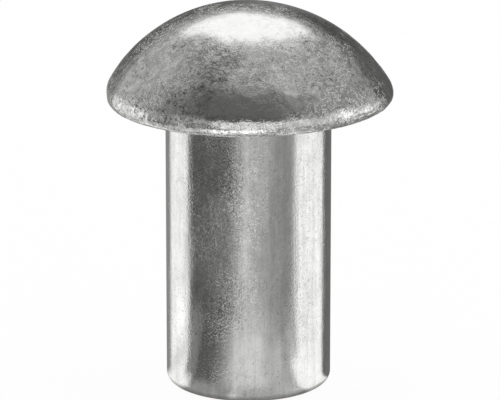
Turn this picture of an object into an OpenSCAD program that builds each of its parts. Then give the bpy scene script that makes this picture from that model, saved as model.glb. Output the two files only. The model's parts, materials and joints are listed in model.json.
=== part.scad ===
// Solid round head rivet, cold headed from one blank. Millimetres.
// The shank stands along Z with the head on top. Z = 0 is the head's bearing face.

/* [Head] */
// Diameter of the head across its widest line
head_d = 13.8; // [12:0.1:16]
// Height of the crown above the bearing face
head_h = 4.8; // [4:0.1:5.8]
// Radius that rolls the crown over into the rim
rim_r = 1.14; // [0.4:0.01:1.6]
// Radius that rolls the rim under to the bearing face
lip_r = 0.42; // [0.1:0.02:0.6]

/* [Shank] */
// Diameter of the shank
shank_d = 8; // [6:0.1:9]
// Length of the shank below the bearing face
shank_l = 14; // [6:0.5:60]
// Radius that the header leaves where the shank meets the bearing face
neck_r = 0.3; // [0.1:0.05:0.6]
// Radius that the cut end's edge is tumbled to
end_r = 0.45; // [0.1:0.05:1]

/* [Finish] */
// Colour of the bare metal
metal = "silver"; // [silver, gray, darkgray]

/* [Hidden] */
$fn = 128;

head_rad = head_d / 2;
shank_rad = shank_d / 2;

// The widest line of the head stands one lip radius above the bearing face.
// The rim's and the lip's arcs both start on it.
rim_x = head_rad - rim_r;
lip_x = head_rad - lip_r;

// The crown is one arc, centred on the axis and tangent to the rim's arc:
// its centre lies on the line through the rim's centre and the point where they meet.
crown_rise = head_h - lip_r;
crown_r = (crown_rise^2 + rim_x^2 - rim_r^2) / (2 * (crown_rise - rim_r));
crown_z = head_h - crown_r;
meet_a = atan2(lip_r - crown_z, rim_x);

// Corners that trim an arc lie this many radii out, clear of the arc.
reach = 2;

// The line through both arcs' centres runs out to here.
meet_far = [0, crown_z] + reach * crown_r * [cos(meet_a), sin(meet_a)];

// A quarter of a disc, from straight down round to straight out.
module lower_quarter(r) {
    intersection() {
        circle(r);
        translate([0, -r]) square(r);
    }
}

// The crown's arc, from the axis out to where it meets the rim's.
module crown_section() {
    intersection() {
        translate([0, crown_z]) circle(crown_r);
        polygon([[0, lip_r], [rim_x, lip_r], meet_far, [0, crown_z + reach * crown_r]]);
    }
}

// The rim's arc, from where it meets the crown's down to the widest line.
module rim_section() {
    intersection() {
        translate([rim_x, lip_r]) circle(rim_r);
        polygon([[rim_x, lip_r], [meet_far.x, lip_r], meet_far]);
    }
}

module head_section() {
    crown_section();
    rim_section();
    translate([lip_x, lip_r]) lower_quarter(lip_r);
    square([lip_x, lip_r]);
}

// The fillet in the corner between the shank and the bearing face.
module neck_section() {
    translate([shank_rad, -neck_r]) difference() {
        square(neck_r);
        translate([neck_r, 0]) circle(neck_r);
    }
}

module shank_section() {
    translate([0, end_r - shank_l]) square([shank_rad, shank_l - end_r]);
    translate([0, -shank_l]) square([shank_rad - end_r, end_r]);
    translate([shank_rad - end_r, end_r - shank_l]) lower_quarter(end_r);
}

module rivet() {
    color(metal) rotate_extrude() {
        head_section();
        neck_section();
        shank_section();
    }
}

rivet();
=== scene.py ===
"""Dresses the solid round head rivet: worn bare aluminium, on a plain pale studio floor."""

import json
import math
import random

import bpy
from bpy.props import FloatProperty, FloatVectorProperty, IntProperty, PointerProperty
from mathutils import Matrix, Vector, noise
from mathutils.kdtree import KDTree


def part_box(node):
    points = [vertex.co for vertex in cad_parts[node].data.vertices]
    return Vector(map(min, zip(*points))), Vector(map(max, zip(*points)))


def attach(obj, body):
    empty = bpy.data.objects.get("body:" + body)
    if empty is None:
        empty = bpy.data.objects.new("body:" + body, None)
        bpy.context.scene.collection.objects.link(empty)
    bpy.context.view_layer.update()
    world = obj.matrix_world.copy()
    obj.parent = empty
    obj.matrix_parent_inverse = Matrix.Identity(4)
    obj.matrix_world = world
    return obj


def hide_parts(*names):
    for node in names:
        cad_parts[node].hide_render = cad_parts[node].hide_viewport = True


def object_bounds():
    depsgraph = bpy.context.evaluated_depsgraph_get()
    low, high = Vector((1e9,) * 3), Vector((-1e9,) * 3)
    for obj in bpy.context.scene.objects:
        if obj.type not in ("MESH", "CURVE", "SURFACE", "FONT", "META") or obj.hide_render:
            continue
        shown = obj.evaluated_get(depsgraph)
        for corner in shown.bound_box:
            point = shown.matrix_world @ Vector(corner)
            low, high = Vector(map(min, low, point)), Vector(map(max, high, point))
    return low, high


bl_info = {
    "name": "Round Head Rivet",
    "version": (1, 0, 0),
    "blender": (4, 5, 0),
    "location": "View3D > Sidebar > Rivet",
    "description": "Builds a worn solid rivet over its packed part, and a studio round it",
    "category": "Add Mesh",
}

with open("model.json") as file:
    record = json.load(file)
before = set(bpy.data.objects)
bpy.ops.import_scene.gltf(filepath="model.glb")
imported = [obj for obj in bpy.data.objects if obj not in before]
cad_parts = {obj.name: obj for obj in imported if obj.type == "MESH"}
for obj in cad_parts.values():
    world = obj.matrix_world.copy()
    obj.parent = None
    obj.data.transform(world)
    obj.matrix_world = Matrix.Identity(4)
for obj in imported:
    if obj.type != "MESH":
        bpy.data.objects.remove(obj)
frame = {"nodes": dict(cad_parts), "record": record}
CAD_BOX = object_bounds()

MM = 0.001
NODE = "rivet"


def linear(hex_colour):
    """An sRGB hex colour as a linear RGBA tuple."""
    channels = [int(hex_colour[i : i + 2], 16) / 255 for i in (0, 2, 4)]
    return tuple(c / 12.92 if c <= 0.04045 else ((c + 0.055) / 1.055) ** 2.4 for c in channels) + (1.0,)


def mount(name):
    """A mount of the packed record, by name."""
    return next(m for m in frame["record"]["mounts"] if m["name"] == name)


def widest_radius():
    """The largest distance of the packed part's skin from its axis."""
    return max(v.co.xy.length for v in frame["nodes"][NODE].data.vertices)


def length(name, description, default, **more):
    """A length property, in metres."""
    return FloatProperty(
        name=name, description=description, default=default, min=0.0, unit="LENGTH", precision=5, **more
    )


def colour(name, description, hex_colour):
    """A colour property, from an sRGB hex colour."""
    return FloatVectorProperty(
        name=name, description=description, subtype="COLOR", size=4, min=0.0, max=1.0,
        default=linear(hex_colour),
    )


class RivetForm(bpy.types.PropertyGroup):
    """The section's sizes. What the packed part says is taken from it."""

    head_radius: length("Head radius", "Head's widest radius", widest_radius())
    head_height: length("Head height", "Crown's height above the bearing face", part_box(NODE)[1].z)
    rim_radius: length("Rim", "Arc that rolls the crown over into the rim", 1.14 * MM)
    lip_radius: length("Lip", "Arc that rolls the rim under to the bearing face", 0.42 * MM)
    shank_radius: length("Shank radius", "Radius of the shank", mount("shank")["dims"]["r_mm"] * MM)
    shank_length: length("Shank length", "Shank below the bearing face", -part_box(NODE)[0].z)
    neck_radius: length("Neck", "Fillet between shank and bearing face", 0.3 * MM)
    end_radius: length("End edge", "Radius of the end's tumbled edge", 0.45 * MM)


class RivetMesh(bpy.types.PropertyGroup):
    """How finely the skin is drawn."""

    around: IntProperty(name="Around", default=512, min=64, max=1024,
                        description="Points round the widest rings, halved inwards: a power of two")
    closest: length("Closest points", "Rings nearer the axis than this allows are halved", 0.045 * MM)
    crown_row: length("Crown rows", "Distance between rings on the crown", 0.085 * MM)
    edge_row: length("Edge rows", "Distance between rings on the rolled edges", 0.06 * MM)
    wall_row: length("Wall rows", "Distance between rings on the shank", 0.2 * MM)
    flat_row: length("Flat rows", "Distance between rings on the flat faces", 0.3 * MM)


class RivetWear(bpy.types.PropertyGroup):
    """What heading, drawing and tumbling leave on the metal."""

    crown_shift: length("Crown shift", "How far the header set the crown's top to the left", 0.1 * MM)
    rim_shift: length("Rim shift", "How far the header set the rim to the right", 0.085 * MM)
    rim_lift: length("Rim lift", "How far the rim's lower edge rises on the right and hangs on the left",
                     0.075 * MM)
    peel_size: length("Peel size", "Width of the swells that heading leaves", 0.9 * MM)
    peel_depth: length("Peel depth", "Height of those swells", 0.014 * MM)
    dents: IntProperty(name="Dents", description="Number of small dents from tumbling", default=60, min=0)
    dent_size: length("Dent size", "Radius of the largest dents", 0.34 * MM)
    dent_depth: length("Dent depth", "Depth of the largest dents", 0.008 * MM)
    draw_size: length("Draw mark size", "Distance between draw marks round the shank", 0.5 * MM)
    draw_depth: length("Draw mark depth", "Depth of the draw marks", 0.0010 * MM)
    seed: IntProperty(name="Seed", description="Random pattern of the dents", default=8, min=0)


class RivetFinish(bpy.types.PropertyGroup):
    """The metal's colours."""

    metal: colour("Metal", "Clean aluminium", "F3F3F1")
    worn: colour("Worn metal", "Metal dulled by its oxide skin", "C6C6C3")
    pit: colour("Pit", "Grey oxide and dirt held in the pits", "6E6E6B")


class RivetStage(bpy.types.PropertyGroup):
    """The studio round the rivet."""

    view_height: FloatProperty(name="View height", description="Angle of the camera above the horizon",
                               default=math.radians(16.18), subtype="ANGLE")
    view_distance: length("View distance", "Camera to aim point", 198.3 * MM)
    aim_drop: length("Aim drop", "Aim point below the bearing face", 4.95 * MM)
    aim_side: length("Aim side", "Aim point to the right of the axis", 0.075 * MM)
    lens: FloatProperty(name="Lens", description="Focal length in millimetres", default=294.7, min=1.0)
    floor: colour("Floor", "Matt card that the rivet stands on", "F4F4F2")


# --- the skin of the rivet ---------------------------------------------------------------

# The skin's three finishes, in the order of its material slots.
HEADED, DRAWN, SHEARED = range(3)

# Fewest points round a ring, unless it shrinks to a single one on the axis.
FEWEST_AROUND = 8

# The bearing face follows the rim fully from this many neck radii off the shank.
NECK_HOLD = 4

# Heights between which the rim's shift and its lift fade out, and the swells fade on the crown.
RIM_SHIFT_FADE = (0.3 * MM, 1.1 * MM)
RIM_LIFT_FADE = (0.6 * MM, 2 * MM)
SWELL_FADE = (2.4 * MM, 3.6 * MM)

# How sharply the crown's shift gathers at its top, and the share of a swell that fades there.
CROWN_SHIFT_POWER = 4
SWELL_LOSS = 0.9

# Falloff, spacing and number of octaves in the noise of the swells and of the draw marks, and how far
# the draw marks' noise is scaled along each axis, so that they run down the shank.
SWELL_NOISE = (0.8, 2.1, 3)
DRAW_NOISE = (0.7, 2.3, 3)
DRAW_SCALE = Vector((1, 1, 0.03))

# Shares of the largest dent that are drawn: the first is squared, so that most dents are small.
DENT_SIZES = (0.25, 1.0)
DENT_DEPTHS = (0.4, 1.0)

# A dent sinks the skin out to this many of its radii, and its middle stays this many of the largest
# dent's radii above the end face.
DENT_REACH = 2.5
DENT_CLEARANCE = 3


def arc(centre, radius, start, end, step):
    """Points along an arc, by angle in degrees, without its last one."""
    turn = math.radians(end - start)
    count = max(2, math.ceil(abs(turn) * radius / step))
    angles = [math.radians(start) + turn * i / count for i in range(count)]
    return [(centre[0] + radius * math.cos(a), centre[1] + radius * math.sin(a)) for a in angles]


def line(start, end, step):
    """Points along a straight line, without its last one."""
    count = max(1, math.ceil(math.dist(start, end) / step))
    return [tuple(a + (b - a) * i / count for a, b in zip(start, end)) for i in range(count)]


def section(form, fine):
    """(radius, height, finish) down the section, from the crown's top to the middle of the end face.

    The crown is one arc centred on the axis and tangent to the rim's arc.
    """
    rim_x = form.head_radius - form.rim_radius
    lip_x = form.head_radius - form.lip_radius
    rise = form.head_height - form.lip_radius
    crown_r = (rise**2 + rim_x**2 - form.rim_radius**2) / (2 * (rise - form.rim_radius))
    crown_z = form.head_height - crown_r
    meet = math.degrees(math.atan2(form.lip_radius - crown_z, rim_x))
    neck_x = form.shank_radius + form.neck_radius
    edge_x = form.shank_radius - form.end_radius
    edge_z = form.end_radius - form.shank_length
    end_z = -form.shank_length
    stretches = [
        (HEADED, arc((0, crown_z), crown_r, 90, meet, fine.crown_row)),
        (HEADED, arc((rim_x, form.lip_radius), form.rim_radius, meet, 0, fine.edge_row)),
        (HEADED, arc((lip_x, form.lip_radius), form.lip_radius, 0, -90, fine.edge_row)),
        (HEADED, line((lip_x, 0), (neck_x, 0), fine.flat_row)),
        (DRAWN, arc((neck_x, -form.neck_radius), form.neck_radius, 90, 180, fine.edge_row)),
        (DRAWN, line((form.shank_radius, -form.neck_radius), (form.shank_radius, edge_z), fine.wall_row)),
        (DRAWN, arc((edge_x, edge_z), form.end_radius, 0, -90, fine.edge_row)),
        (SHEARED, line((edge_x, end_z), (0, end_z), fine.flat_row)),
        (SHEARED, [(0, end_z)]),
    ]
    return [(r, z, finish) for finish, points in stretches for r, z in points]


def ring_count(radius, fine):
    """Points round a ring: halved until they are far enough apart."""
    count = fine.around
    while count > FEWEST_AROUND and math.tau * radius / count < fine.closest:
        count //= 2
    return count


def lathe(rows, fine):
    """Vertices, faces and each face's finish, for a section turned about the axis."""
    verts, faces, finishes = [], [], []
    last = None
    for radius, height, finish in rows:
        count = ring_count(radius, fine) if radius > fine.closest / FEWEST_AROUND else 1
        first = len(verts)
        for i in range(count):
            turn = math.tau * i / count
            verts.append(Vector((radius * math.cos(turn), radius * math.sin(turn), height)))
        ring = [first + i for i in range(count)]
        if last:
            made = band(last[0], ring)
            faces += made
            finishes += [last[1]] * len(made)
        last = (ring, finish)
    return verts, faces, finishes


def band(upper, lower):
    """Faces between two rings, one of which may have half the points of the other or a single one."""
    if len(upper) < len(lower):
        return [face[::-1] for face in band(lower, upper)]
    n, m = len(upper), len(lower)
    if m == 1:
        return [(upper[i], lower[0], upper[(i + 1) % n]) for i in range(n)]
    if n == m:
        return [(upper[i], lower[i], lower[(i + 1) % n], upper[(i + 1) % n]) for i in range(n)]
    faces = []
    for j in range(m):
        near, far = lower[j], lower[(j + 1) % m]
        a, b, c = upper[2 * j], upper[2 * j + 1], upper[(2 * j + 2) % n]
        faces += [(a, near, b), (near, far, b), (b, far, c)]
    return faces


def ease(low, high, value):
    """0 below low, 1 above high, smooth between."""
    t = min(max((value - low) / (high - low), 0.0), 1.0)
    return t * t * (3 - 2 * t)


def skewed(point, form, wear):
    """A point of the head, moved by the header's small misalignment and its uneven rim."""
    hold = ease(form.shank_radius, form.shank_radius + NECK_HOLD * form.neck_radius, point.xy.length)
    if point.z > form.lip_radius:
        hold = 1.0
    if point.z < 0:
        hold = 0.0
    up = max(point.z, 0) / form.head_height
    aside = wear.rim_shift * (1 - ease(*RIM_SHIFT_FADE, point.z)) - wear.crown_shift * up**CROWN_SHIFT_POWER
    lift = wear.rim_lift * point.x / form.head_radius * (1 - ease(*RIM_LIFT_FADE, point.z))
    return point + hold * Vector((aside, 0, lift))


def swell(point, wear):
    """Height of the slow swells on the headed metal."""
    uneven = 1 - SWELL_LOSS * ease(*SWELL_FADE, point.z)
    return wear.peel_depth * uneven * noise.fractal(point / wear.peel_size, *SWELL_NOISE)


def draw_mark(point, wear):
    """Height of the long marks that drawing leaves down the shank."""
    return wear.draw_depth * noise.fractal(point * DRAW_SCALE / wear.draw_size, *DRAW_NOISE)


def scatter_dents(points, normals, foot, wear):
    """Sinks small round dents into the skin, at seeded places that stay clear of the plain end face."""
    pick = random.Random(wear.seed)
    tree = kd_tree(points)
    open_skin = [i for i, point in enumerate(points) if point.z > foot + DENT_CLEARANCE * wear.dent_size]
    for _ in range(wear.dents):
        spot = points[open_skin[pick.randrange(len(open_skin))]]
        size = wear.dent_size * pick.uniform(*DENT_SIZES) ** 2
        depth = wear.dent_depth * size / wear.dent_size * pick.uniform(*DENT_DEPTHS)
        for _co, index, distance in tree.find_range(spot, DENT_REACH * size):
            points[index] = points[index] - normals[index] * depth * math.exp(-((distance / size) ** 2))


def kd_tree(points):
    """A search tree over points."""
    tree = KDTree(len(points))
    for i, p in enumerate(points):
        tree.insert(p, i)
    tree.balance()
    return tree


def build_skin(form, fine, wear):
    """The rivet's skin as a mesh object, with its relief in the geometry."""
    verts, faces, finishes = lathe(section(form, fine), fine)
    mesh = bpy.data.meshes.new("rivet_skin")
    mesh.from_pydata(verts, [], faces)
    mesh.polygons.foreach_set("material_index", finishes)
    mesh.update()
    normals = [v.vector.copy() for v in mesh.vertex_normals]
    points = []
    for point, normal in zip(verts, normals):
        if point.z > 0:
            height = swell(point, wear)
        elif point.z > -form.shank_length:
            height = draw_mark(point, wear)
        else:
            height = 0.0
        points.append(skewed(point, form, wear) + normal * height)
    scatter_dents(points, normals, -form.shank_length, wear)
    for vertex, point in zip(mesh.vertices, points):
        vertex.co = point
    mesh.update()
    mesh.shade_smooth()
    return bpy.data.objects.new("rivet_skin", mesh)


# --- materials ---------------------------------------------------------------------------


def add(tree, kind, inputs=None, **settings):
    """A node with its settings, and its inputs set or linked."""
    node = tree.nodes.new(kind)
    for name, value in settings.items():
        setattr(node, name, value)
    for key, value in (inputs or {}).items():
        if isinstance(value, bpy.types.NodeSocket):
            tree.links.new(value, node.inputs[key])
        else:
            node.inputs[key].default_value = value
    return node


def per_metre(size_mm):
    """Texture scale whose cells are that many millimetres wide."""
    return 1 / (size_mm * MM)


def new_material(name):
    """An empty node material and its tree."""
    material = bpy.data.materials.new(name)
    material.use_nodes = True
    tree = material.node_tree
    tree.nodes.clear()
    return material, tree


def object_place(tree):
    """Where a point lies on the rivet, in metres."""
    return add(tree, "ShaderNodeTexCoord").outputs["Object"]


def finish_metal(tree, colour_socket, roughness, normal):
    """A bare metal surface with these inputs."""
    metal = add(tree, "ShaderNodeBsdfPrincipled",
                {"Base Color": colour_socket, "Metallic": 1.0, "Roughness": roughness, "Normal": normal})
    add(tree, "ShaderNodeOutputMaterial", {"Surface": metal.outputs["BSDF"]})


def spread(tree, value, low, high, to_low=0.0, to_high=1.0):
    """A value between low and high, spread over another range."""
    return add(tree, "ShaderNodeMapRange",
               {"Value": value, "From Min": low, "From Max": high, "To Min": to_low, "To Max": to_high},
               interpolation_type="SMOOTHSTEP").outputs["Result"]


def multiply(tree, a, b):
    """The product of two values."""
    return add(tree, "ShaderNodeMath", {0: a, 1: b}, operation="MULTIPLY").outputs[0]


def blend(tree, amount, a, b):
    """Colour b over colour a."""
    return add(tree, "ShaderNodeMix", {"Factor": amount, "A": a, "B": b}, data_type="RGBA").outputs["Result"]


def noise_at(tree, vector, size_mm, detail, roughness=0.6, distortion=0.0):
    """Noise whose cells are that many millimetres wide."""
    return add(tree, "ShaderNodeTexNoise",
               {"Vector": vector, "Scale": per_metre(size_mm), "Detail": detail,
                "Roughness": roughness, "Distortion": distortion}).outputs["Fac"]


# Hair lines follow this level of a noise. Its middle, 0.5, would tie them together in stars on a grid.
HAIR_LEVEL = 0.44


def hair_lines(tree, vector, size_mm, width):
    """1 on thin winding lines, where a noise crosses one level, and 0 between them."""
    cells = noise_at(tree, vector, size_mm, 2.0, 0.5, 0.8)
    off = add(tree, "ShaderNodeMath", {0: cells, 1: HAIR_LEVEL}, operation="SUBTRACT").outputs[0]
    far = add(tree, "ShaderNodeMath", {0: off}, operation="ABSOLUTE").outputs[0]
    return spread(tree, far, 0.0, width, 1.0, 0.0)


def stretched(tree, vector, scale):
    """Coordinates scaled along each axis, so that a pattern lengthens where they are small."""
    return add(tree, "ShaderNodeVectorMath", {0: vector, 1: scale}, operation="MULTIPLY").outputs["Vector"]


# Spots that tumbling rubbed smooth: centre and half widths, in millimetres, and how much wear is left.
RUBBED_SPOTS = (
    ((0.0, -2.4, 4.3), (3.5, 1.6, 2.0), 0.15),
    ((0.6, -6.4, 1.5), (3.8, 1.6, 0.9), 0.25),
    ((5.9, -1.2, 2.2), (1.3, 3.4, 1.5), 0.45),
    ((-6.0, -0.8, 1.9), (0.9, 3.4, 1.3), 0.5),
    ((0.0, 1.6, 4.6), (4.0, 1.6, 0.8), 0.6),
    ((6.8, -0.6, 0.5), (0.7, 2.4, 0.8), 0.35),
    ((-6.8, -0.6, 0.5), (0.7, 2.0, 0.8), 0.5),
)

# A hazy spot where the shank rubbed against its neighbours: the same, and how much clear metal is left.
SCUFFED_SPOTS = (
    ((-1.6, -3.8, -6.3), (2.1, 2.0, 2.8), 0.0),
)

# A spot's edge, from its inside to its outside, and how far it strays, in shares of the half widths.
# The straying comes in patches this many millimetres wide.
SPOT_EDGE = (0.5, 1.35)
SPOT_STRAY = 0.22
SPOT_STRAY_SIZE = 0.9


def away_from(tree, place, spots):
    """1 away from the spots, and on each what it keeps. Their edges are soft and broken."""
    kept_here = 1.0
    patches = noise_at(tree, place, SPOT_STRAY_SIZE, 3.0, 0.7)
    ragged = spread(tree, patches, 0.3, 0.7, -SPOT_STRAY, SPOT_STRAY)
    for centre, half_widths, kept in spots:
        middle = tuple(c * MM for c in centre)
        offset = add(tree, "ShaderNodeVectorMath", {0: place, 1: middle}, operation="SUBTRACT")
        scaled = stretched(tree, offset.outputs["Vector"], tuple(1 / (h * MM) for h in half_widths))
        away = add(tree, "ShaderNodeVectorMath", {0: scaled}, operation="LENGTH").outputs["Value"]
        edge = add(tree, "ShaderNodeMath", {0: away, 1: ragged}, operation="ADD").outputs["Value"]
        kept_here = multiply(tree, spread(tree, edge, *SPOT_EDGE, kept, 1.0), kept_here)
    return kept_here


def headed_aluminium(finish):
    """Aluminium headed in a die and tumbled: a clean metal with a fine worm-like grain.

    The eye sees patches of bright scratches and of dark pits, in thin lines that wind round cells 0.2
    to 0.3 mm wide, and between them and on the rubbed spots a smooth metal that shows the studio.
    """
    material, tree = new_material("aluminium_headed_tumbled")
    place = object_place(tree)
    grain = noise_at(tree, place, 0.12, 2.0, 0.6, 0.6)
    mottle = noise_at(tree, place, 0.7, 4.0, 0.8, 0.5)
    patches = noise_at(tree, place, 2.6, 3.0)
    scratches = hair_lines(tree, place, 0.22, 0.065)
    cracks = hair_lines(tree, place, 0.26, 0.065)
    worn_here = away_from(tree, place, RUBBED_SPOTS)
    scuffed = multiply(tree, spread(tree, patches, 0.40, 0.56, 0.25, 1.0), worn_here)
    pitted = multiply(tree, spread(tree, patches, 0.58, 0.42, 0.25, 1.0), worn_here)
    dull = multiply(tree, spread(tree, mottle, 0.38, 0.56, 0.1, 1.0), worn_here)
    base = blend(tree, dull, finish.metal, finish.worn)
    dirty = blend(tree, multiply(tree, cracks, pitted), base, finish.pit)
    mixed = blend(tree, multiply(tree, scratches, scuffed), dirty, finish.metal)
    roughness = spread(tree, multiply(tree, scratches, scuffed), 0.0, 1.0, 0.13, 0.72)
    dents = add(tree, "ShaderNodeBump", {"Height": mottle, "Strength": worn_here, "Distance": 0.021 * MM})
    ridges = add(tree, "ShaderNodeBump", {"Height": scratches, "Strength": scuffed, "Distance": 0.006 * MM,
                                          "Normal": dents.outputs["Normal"]})
    bump = add(tree, "ShaderNodeBump", {"Height": grain, "Strength": worn_here, "Distance": 0.009 * MM,
                                        "Normal": ridges.outputs["Normal"]})
    finish_metal(tree, mixed, roughness, bump.outputs["Normal"])
    return material


def drawn_aluminium(finish):
    """Aluminium wire as drawn: bright, with faint marks along its length and a fine grain.

    The eye sees sharp upright reflections, whose edges break up into specks about 0.1 mm wide.
    """
    material, tree = new_material("aluminium_drawn_wire")
    place = object_place(tree)
    marks = noise_at(tree, stretched(tree, place, (1.0, 1.0, 0.05)), 0.5, 4.0, 0.75)
    short = stretched(tree, place, (1.0, 1.0, 0.7))
    grain = noise_at(tree, short, 0.09, 1.0, 0.6, 0.6)
    mottle = noise_at(tree, short, 0.7, 4.0, 0.8, 0.5)
    patches = noise_at(tree, place, 3.0, 3.0)
    scratches = hair_lines(tree, short, 0.11, 0.07)
    dull = add(tree, "ShaderNodeMath", {0: spread(tree, mottle, 0.4, 0.62, 0.12, 0.38),
                                        1: spread(tree, marks, 0.4, 0.6, 0.14, 0.46)}, operation="ADD")
    base = blend(tree, dull.outputs[0], finish.metal, finish.worn)
    scuffed = spread(tree, patches, 0.3, 0.66, 0.3, 0.8)
    pits = multiply(tree, spread(tree, grain, 0.42, 0.28, 0.0, 0.5), scuffed)
    mixed = blend(tree, pits, base, finish.pit)
    clear = away_from(tree, place, SCUFFED_SPOTS)
    haze = spread(tree, clear, 0.0, 1.0, 0.16, 0.1)
    lines = spread(tree, multiply(tree, scratches, scuffed), 0.0, 1.0, 0.0, 0.18)
    roughness = add(tree, "ShaderNodeMath", {0: haze, 1: lines}, operation="ADD").outputs["Value"]
    scored = add(tree, "ShaderNodeBump", {"Height": marks, "Strength": 1.0, "Distance": 0.005 * MM})
    bump = add(tree, "ShaderNodeBump", {"Height": grain, "Strength": scuffed, "Distance": 0.008 * MM,
                                        "Normal": scored.outputs["Normal"]})
    finish_metal(tree, mixed, roughness, bump.outputs["Normal"])
    return material


def sheared_aluminium(finish):
    """Aluminium cut from the wire by a shear: a matt torn face with fine parallel tracks."""
    material, tree = new_material("aluminium_sheared_end")
    place = object_place(tree)
    tracks = noise_at(tree, stretched(tree, place, (1.0, 0.12, 1.0)), 0.3, 4.0, 0.7)
    torn = blend(tree, spread(tree, tracks, 0.35, 0.65), finish.pit, finish.worn)
    bump = add(tree, "ShaderNodeBump", {"Height": tracks, "Strength": 1.0, "Distance": 0.02 * MM})
    finish_metal(tree, torn, 0.42, bump.outputs["Normal"])
    return material


# --- the studio --------------------------------------------------------------------------

# Panels of the tent's grey lining, seen in the metal. Directions are in degrees:
# across from the camera's side, positive to its right, and up from the horizon.
# Each is (across, up, half width, half height, feathers of both, tone). Later ones lie over earlier ones.
# A tone of 1 is white.
LINING = 0.33
PANELS = {
    # The floor panels are a painted reflection of the floor: the real floor is hidden from reflections, so
    # the metal sees these tones instead.
    "floor_left": (-80, -58, 32, 38, 24, 5, 0.60),
    "floor_left_front": (-42, -58, 16, 38, 16, 5, 1.00),
    "floor_front": (-4, -58, 28, 38, 14, 5, 1.80),
    "floor_right_front": (36, -58, 20, 38, 16, 5, 0.46),
    "floor_right": (78, -58, 27, 38, 18, 5, 0.49),
    "floor_right_back": (138, -58, 24, 30, 18, 10, 0.24),
    "floor_left_back": (-126, -42, 24, 28, 14, 10, 0.74),
    "floor_back": (180, -70, 30, 20, 30, 30, 0.70),
    "right_silk": (104, 74, 86, 24, 40, 14, 0.58),
    "roof_silk": (40, 84, 100, 11, 60, 12, 0.62),
    "right_low_silk": (112, 36, 32, 16, 20, 12, 0.41),
    "front_flag": (-12, 49, 60, 18, 22, 18, 0.13),
    "front_flag_low": (-10, 33, 32, 11, 16, 3, 0.11),
    "right_flag": (60, 47, 11, 8, 12, 8, 0.17),
    "front_left_card": (-55, 0, 34, 20, 10, 6, 0.42),
    "front_right_card": (56, 8, 20, 16, 10, 6, 0.82),
    "front_card": (1, 0, 29, 18, 8, 2.5, 1.00),
    "front_strip": (8, 14.5, 24, 4, 12, 2.5, 1.06),
    "left_silk": (-131, 32, 29, 20, 18, 18, 0.55),
    "left_back_flag": (-164, 6, 18, 13, 14, 10, 0.12),
    "left_back_belt": (-160, -17, 20, 8, 8, 8, 0.28),
    "right_back_flag": (151, 2, 23, 23, 12, 10, 0.11),
    "right_back_belt": (148, -18, 22, 6.5, 8, 8, 0.17),
    "left_door_a": (-95, -12, 8, 16, 6, 6, 1.00),
    "left_door_b": (-109, -8, 10, 14, 6, 4, 1.34),
    "left_door_c": (-124, -1, 10, 10, 8, 6, 1.16),
    "left_door_foot": (-117, -17, 22, 6, 12, 5, 1.22),
    "right_door_top": (84, 22, 16, 8, 14, 8, 0.68),
    "right_door_a": (80, 8, 12, 13, 8, 4, 1.20),
    "right_door_b": (97, 10, 10, 11, 6, 4, 1.36),
    "right_door_c": (114, 5, 10, 7, 8, 4, 1.10),
    "right_door_foot": (96, -17.1, 30.5, 4.3, 7, 2.5, 1.22),
    "roof_window": (179, 55, 31, 17.5, 7, 4, 1.10),
    "roof_window_low": (182, 40, 27, 7, 12, 6, 1.10),
    "belt_front": (20, -16.5, 47, 4.5, 14, 2, 0.46),
    "belt_streak": (-4, -16.5, 4, 4.5, 6, 2, 0.70),
    "belt_right": (48, -16.5, 16, 4.5, 24, 2, 0.32),
    "belt_left_flag": (-72, -17.2, 20, 5, 12, 2.5, 0.105),
    "belt_mid_flag": (-44, -17.2, 28, 4.8, 24, 2.5, 0.105),
}

# Painted reflections of the floor round the foot, seen in the metal only, with a painted contact shadow
# round the foot: (across, millimetres from the axis, ...).
FOOT_PANELS = {
    "foot_glow": (-2, 10, 22, 7, 36, 7, 0.78),
    "foot_right_glow": (53, 10, 8, 6, 8, 5, 0.56),
    "foot_left_edge": (-68, 12, 7, 6, 6, 5, 0.24),
    "foot_left_glow": (-92, 14, 9, 12, 12, 16, 0.9),
    "foot_left_door": (-78, 5, 15, 1.5, 12, 1.5, 1.14),
    "foot_right_door": (68, 7, 18, 3, 8, 1.5, 1.22),
    "foot_left_flag": (-36, 5, 21, 1.5, 10, 1.5, 0.38),
    "foot_front_card": (14, 5, 24, 1.5, 12, 1.5, 0.46),
    "foot_right_card": (34, 9, 8, 5, 8, 5, 0.58),
    "foot_left_back_door": (-98, 15, 11, 4, 8, 5, 1.34),
    # Painted contact shadow: a dark ring round the foot, which the shank's lowest edge reflects.
    "painted_foot_shadow": (0, 3, 181, 1.0, 4, 0.4, 0.12),
}

# The tent's radius in metres, the painted foot reflection's in millimetres, the degrees between their
# points, and the painted foot reflection's rings.
TENT_RADIUS = 0.5
FOOT_MAT_RADIUS = 30
STEP_ROUND = 2
FOOT_MAT_RINGS = 60

# The floor's radius in metres, its sides, and the share of it that glows where it is seen.
FLOOR_RADIUS = 2.0
FLOOR_SIDES = 96
FLOOR_GLOW = 0.95

# Strength of the world where it lights the rivet, and where it is seen.
WORLD_LIGHT = 0.7
WORLD_WHITE = 1.0


def soft_edge(offset, half, feather):
    """1 inside a panel, 0 outside, smooth across its feathered edge."""
    return 1 - ease(half - feather / 2, half + feather / 2, abs(offset))


def lay(panels, across, along, tone, cover):
    """(tone, cover) at one place, after the panels are laid over what is there."""
    for at_across, at_along, half_w, half_h, feather_w, feather_h, panel_tone in panels.values():
        offset = (across - at_across + 180) % 360 - 180
        inside = soft_edge(offset, half_w, feather_w) * soft_edge(along - at_along, half_h, feather_h)
        cover += (1 - cover) * inside
        tone += (panel_tone - tone) * (inside / cover if cover else 0)
    return tone, cover


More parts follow.
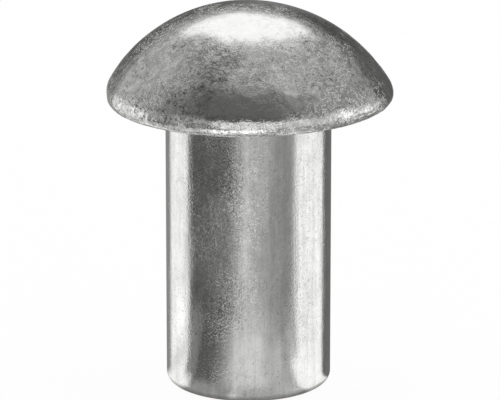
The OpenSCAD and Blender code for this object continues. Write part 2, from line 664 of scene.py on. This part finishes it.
def white_for_seen_rays(tree):
    """1 for camera, glossy and transmission rays, 0 for the rays that carry light."""
    ray = add(tree, "ShaderNodeLightPath").outputs
    seen = add(tree, "ShaderNodeMath", {0: ray["Is Camera Ray"], 1: ray["Is Glossy Ray"]}, operation="ADD")
    return add(tree, "ShaderNodeMath", {0: seen.outputs[0], 1: ray["Is Transmission Ray"]},
               operation="ADD", use_clamp=True).outputs[0]


def build_tent(centre):
    """A light tent round the rivet, lined with grey silk, which only reflections see."""
    verts, looks = [], []
    across_count, up_count = 360 // STEP_ROUND, 180 // STEP_ROUND
    for j in range(up_count + 1):
        up = -90 + j * STEP_ROUND
        for i in range(across_count):
            across = i * STEP_ROUND
            verts.append(centre + TENT_RADIUS * direction(across, up))
            looks.append(lay(PANELS, across, up, LINING, 1.0))
    return reflected_sheet("light_tent", verts, looks, across_count)


def build_painted_foot_reflection(height):
    """The painted reflection of the near floor, with its painted contact shadow, which only reflections see.
    """
    verts, looks = [], []
    across_count = 360 // STEP_ROUND
    for j in range(FOOT_MAT_RINGS + 1):
        out = FOOT_MAT_RADIUS * j / FOOT_MAT_RINGS
        for i in range(across_count):
            across = i * STEP_ROUND
            verts.append(out * MM * direction(across, 0) + Vector((0, 0, height)))
            looks.append(lay(FOOT_PANELS, across, out, 0.0, 0.0))
    return reflected_sheet("painted_foot_reflection", verts, looks, across_count)


def direction(across, up):
    """A unit vector. Across is from the camera's side, to its right."""
    turn, rise = math.radians(across), math.radians(up)
    return Vector((math.sin(turn) * math.cos(rise), -math.cos(turn) * math.cos(rise), math.sin(rise)))


def reflected_sheet(name, verts, looks, row):
    """A sheet of rows of points, closed round each row, with each point's tone and cover."""
    faces = []
    for j in range(len(verts) // row - 1):
        for i in range(row):
            k = (i + 1) % row
            faces.append((j * row + i, j * row + k, (j + 1) * row + k, (j + 1) * row + i))
    mesh = bpy.data.meshes.new(name)
    mesh.from_pydata(verts, [], faces)
    for attribute, values in zip(("tone", "cover"), zip(*looks)):
        mesh.attributes.new(attribute, "FLOAT", "POINT").data.foreach_set("value", values)
    mesh.materials.append(tent_silk())
    sheet = bpy.data.objects.new(name, mesh)
    for ray in ("camera", "diffuse", "transmission", "volume_scatter", "shadow"):
        setattr(sheet, "visible_" + ray, False)
    return sheet


def tent_silk():
    """Silk lit from behind, which lets through what it doesn't cover."""
    material = bpy.data.materials.get("tent_silk")
    if material:
        return material
    material, tree = new_material("tent_silk")
    tone = add(tree, "ShaderNodeAttribute", attribute_name="tone").outputs["Fac"]
    cover = add(tree, "ShaderNodeAttribute", attribute_name="cover").outputs["Fac"]
    lit = add(tree, "ShaderNodeEmission", {"Strength": tone})
    clear = add(tree, "ShaderNodeBsdfTransparent")
    mixed = add(tree, "ShaderNodeMixShader", {0: cover, 1: clear.outputs[0], 2: lit.outputs[0]})
    add(tree, "ShaderNodeOutputMaterial", {"Surface": mixed.outputs[0]})
    return material


def build_floor(height, card):
    """A round matt card under the rivet. The metal mirrors the tent and the painted reflection of the floor
    round the foot, and not this card.
    """
    mesh = bpy.data.meshes.new("studio_floor")
    ring = [(FLOOR_RADIUS * math.cos(math.tau * i / FLOOR_SIDES),
             FLOOR_RADIUS * math.sin(math.tau * i / FLOOR_SIDES), height) for i in range(FLOOR_SIDES)]
    mesh.from_pydata(ring, [], [tuple(range(FLOOR_SIDES))])
    mesh.materials.append(matt_card(card))
    floor = bpy.data.objects.new("studio_floor", mesh)
    floor.visible_glossy = False
    return floor


def matt_card(card):
    """White matt card, seen near white, which still takes the rivet's shadow."""
    material, tree = new_material("floor_matt_card")
    matt = add(tree, "ShaderNodeBsdfDiffuse", {"Color": card})
    glow = add(tree, "ShaderNodeEmission", {"Strength": 1.0})
    amount = multiply(tree, white_for_seen_rays(tree), FLOOR_GLOW)
    mixed = add(tree, "ShaderNodeMixShader", {0: amount, 1: matt.outputs[0], 2: glow.outputs[0]})
    add(tree, "ShaderNodeOutputMaterial", {"Surface": mixed.outputs[0]})
    return material


def build_world():
    """A white studio: plain light, and white where it is seen. The tent hides it from the metal."""
    world = bpy.data.worlds.new("studio_world")
    world.use_nodes = True
    tree = world.node_tree
    tree.nodes.clear()
    strength = spread(tree, white_for_seen_rays(tree), 0.0, 1.0, WORLD_LIGHT, WORLD_WHITE)
    sky = add(tree, "ShaderNodeBackground", {"Strength": strength})
    add(tree, "ShaderNodeOutputWorld", {"Surface": sky.outputs[0]})
    bpy.context.scene.world = world


# Soft boxes: across and up in degrees as above, distance and side in metres, power in watts.
LAMPS = {
    "roof_box": (180, 60, 0.5, 0.5, 1.0),
    "left_box": (-120, 30, 0.5, 0.5, 0.5),
    "right_box": (100, 30, 0.5, 0.5, 0.5),
}


def build_lamp(name, across, up, distance, side, power):
    """A square soft box that faces the rivet. The tent's windows stand for it in the metal."""
    light = bpy.data.lights.new(name, "AREA")
    light.size = side
    light.energy = power
    lamp = bpy.data.objects.new(name, light)
    out = direction(across, up)
    lamp.matrix_world = Matrix.LocRotScale(out * distance, out.to_track_quat("Z", "Y"), None)
    lamp.visible_glossy = False
    return lamp


def build_camera(stage):
    """The camera, in front of the rivet and a little above it."""
    rise = stage.view_height
    aim = Vector((stage.aim_side, 0, -stage.aim_drop))
    back = Vector((0, -math.cos(rise), math.sin(rise)))
    lens = bpy.data.cameras.new("studio_camera")
    lens.lens = stage.lens
    lens.clip_start = 10 * MM
    camera = bpy.data.objects.new("studio_camera", lens)
    place = aim + back * stage.view_distance
    camera.matrix_world = Matrix.LocRotScale(place, back.to_track_quat("Z", "Y"), None)
    return camera


# --- operators, panel and main -----------------------------------------------------------


def show(obj):
    """Links an object into the scene and returns it."""
    bpy.context.scene.collection.objects.link(obj)
    return obj


class RIVET_OT_skin(bpy.types.Operator):
    """Build the rivet's worn skin in place of the plain packed solid"""

    bl_idname = "rivet.skin"
    bl_label = "Rivet"

    def execute(self, context):
        scene = context.scene
        skin = show(build_skin(scene.rivet_form, scene.rivet_mesh, scene.rivet_wear))
        for make in (headed_aluminium, drawn_aluminium, sheared_aluminium):
            skin.data.materials.append(make(scene.rivet_finish))
        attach(skin, "root")
        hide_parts(NODE)
        return {"FINISHED"}


class RIVET_OT_stage(bpy.types.Operator):
    """Build the floor, the light tent, the soft boxes, the white world and the camera"""

    bl_idname = "rivet.stage"
    bl_label = "Studio"

    def execute(self, context):
        scene = context.scene
        stage = scene.rivet_stage
        low, high = CAD_BOX
        middle = Vector((0, 0, (low[2] + high[2]) / 2))
        show(build_floor(low[2], stage.floor))
        show(build_tent(middle))
        show(build_painted_foot_reflection(low[2]))
        for name, values in LAMPS.items():
            show(build_lamp(name, *values))
        build_world()
        scene.camera = show(build_camera(stage))
        scene.view_settings.view_transform = "Standard"
        return {"FINISHED"}


class RIVET_PT_panel(bpy.types.Panel):
    """The rivet's sizes, wear and colours, and the buttons that build it"""

    bl_idname = "RIVET_PT_panel"
    bl_label = "Round Head Rivet"
    bl_space_type = "VIEW_3D"
    bl_region_type = "UI"
    bl_category = "Rivet"

    def draw(self, context):
        layout = self.layout
        for group in GROUPS:
            box = layout.box()
            box.label(text=GROUPS[group].__doc__)
            settings = getattr(context.scene, group)
            for name in settings.bl_rna.properties.keys():
                if name not in ("rna_type", "name"):
                    box.prop(settings, name)
        for operator in OPERATORS:
            layout.operator(operator.bl_idname)


GROUPS = {
    "rivet_form": RivetForm,
    "rivet_mesh": RivetMesh,
    "rivet_wear": RivetWear,
    "rivet_finish": RivetFinish,
    "rivet_stage": RivetStage,
}
OPERATORS = (RIVET_OT_skin, RIVET_OT_stage)
CLASSES = (*GROUPS.values(), *OPERATORS, RIVET_PT_panel)


def register():
    """Register the classes, and give the scene its groups of settings."""
    for cls in CLASSES:
        bpy.utils.register_class(cls)
    for name, group in GROUPS.items():
        setattr(bpy.types.Scene, name, PointerProperty(type=group))


def unregister():
    """Take back what register did."""
    for name in GROUPS:
        delattr(bpy.types.Scene, name)
    for cls in reversed(CLASSES):
        bpy.utils.unregister_class(cls)


def main():
    """Build the rivet and its studio."""
    register()
    bpy.ops.rivet.skin()
    bpy.ops.rivet.stage()


if __name__ == "__main__":
    main()
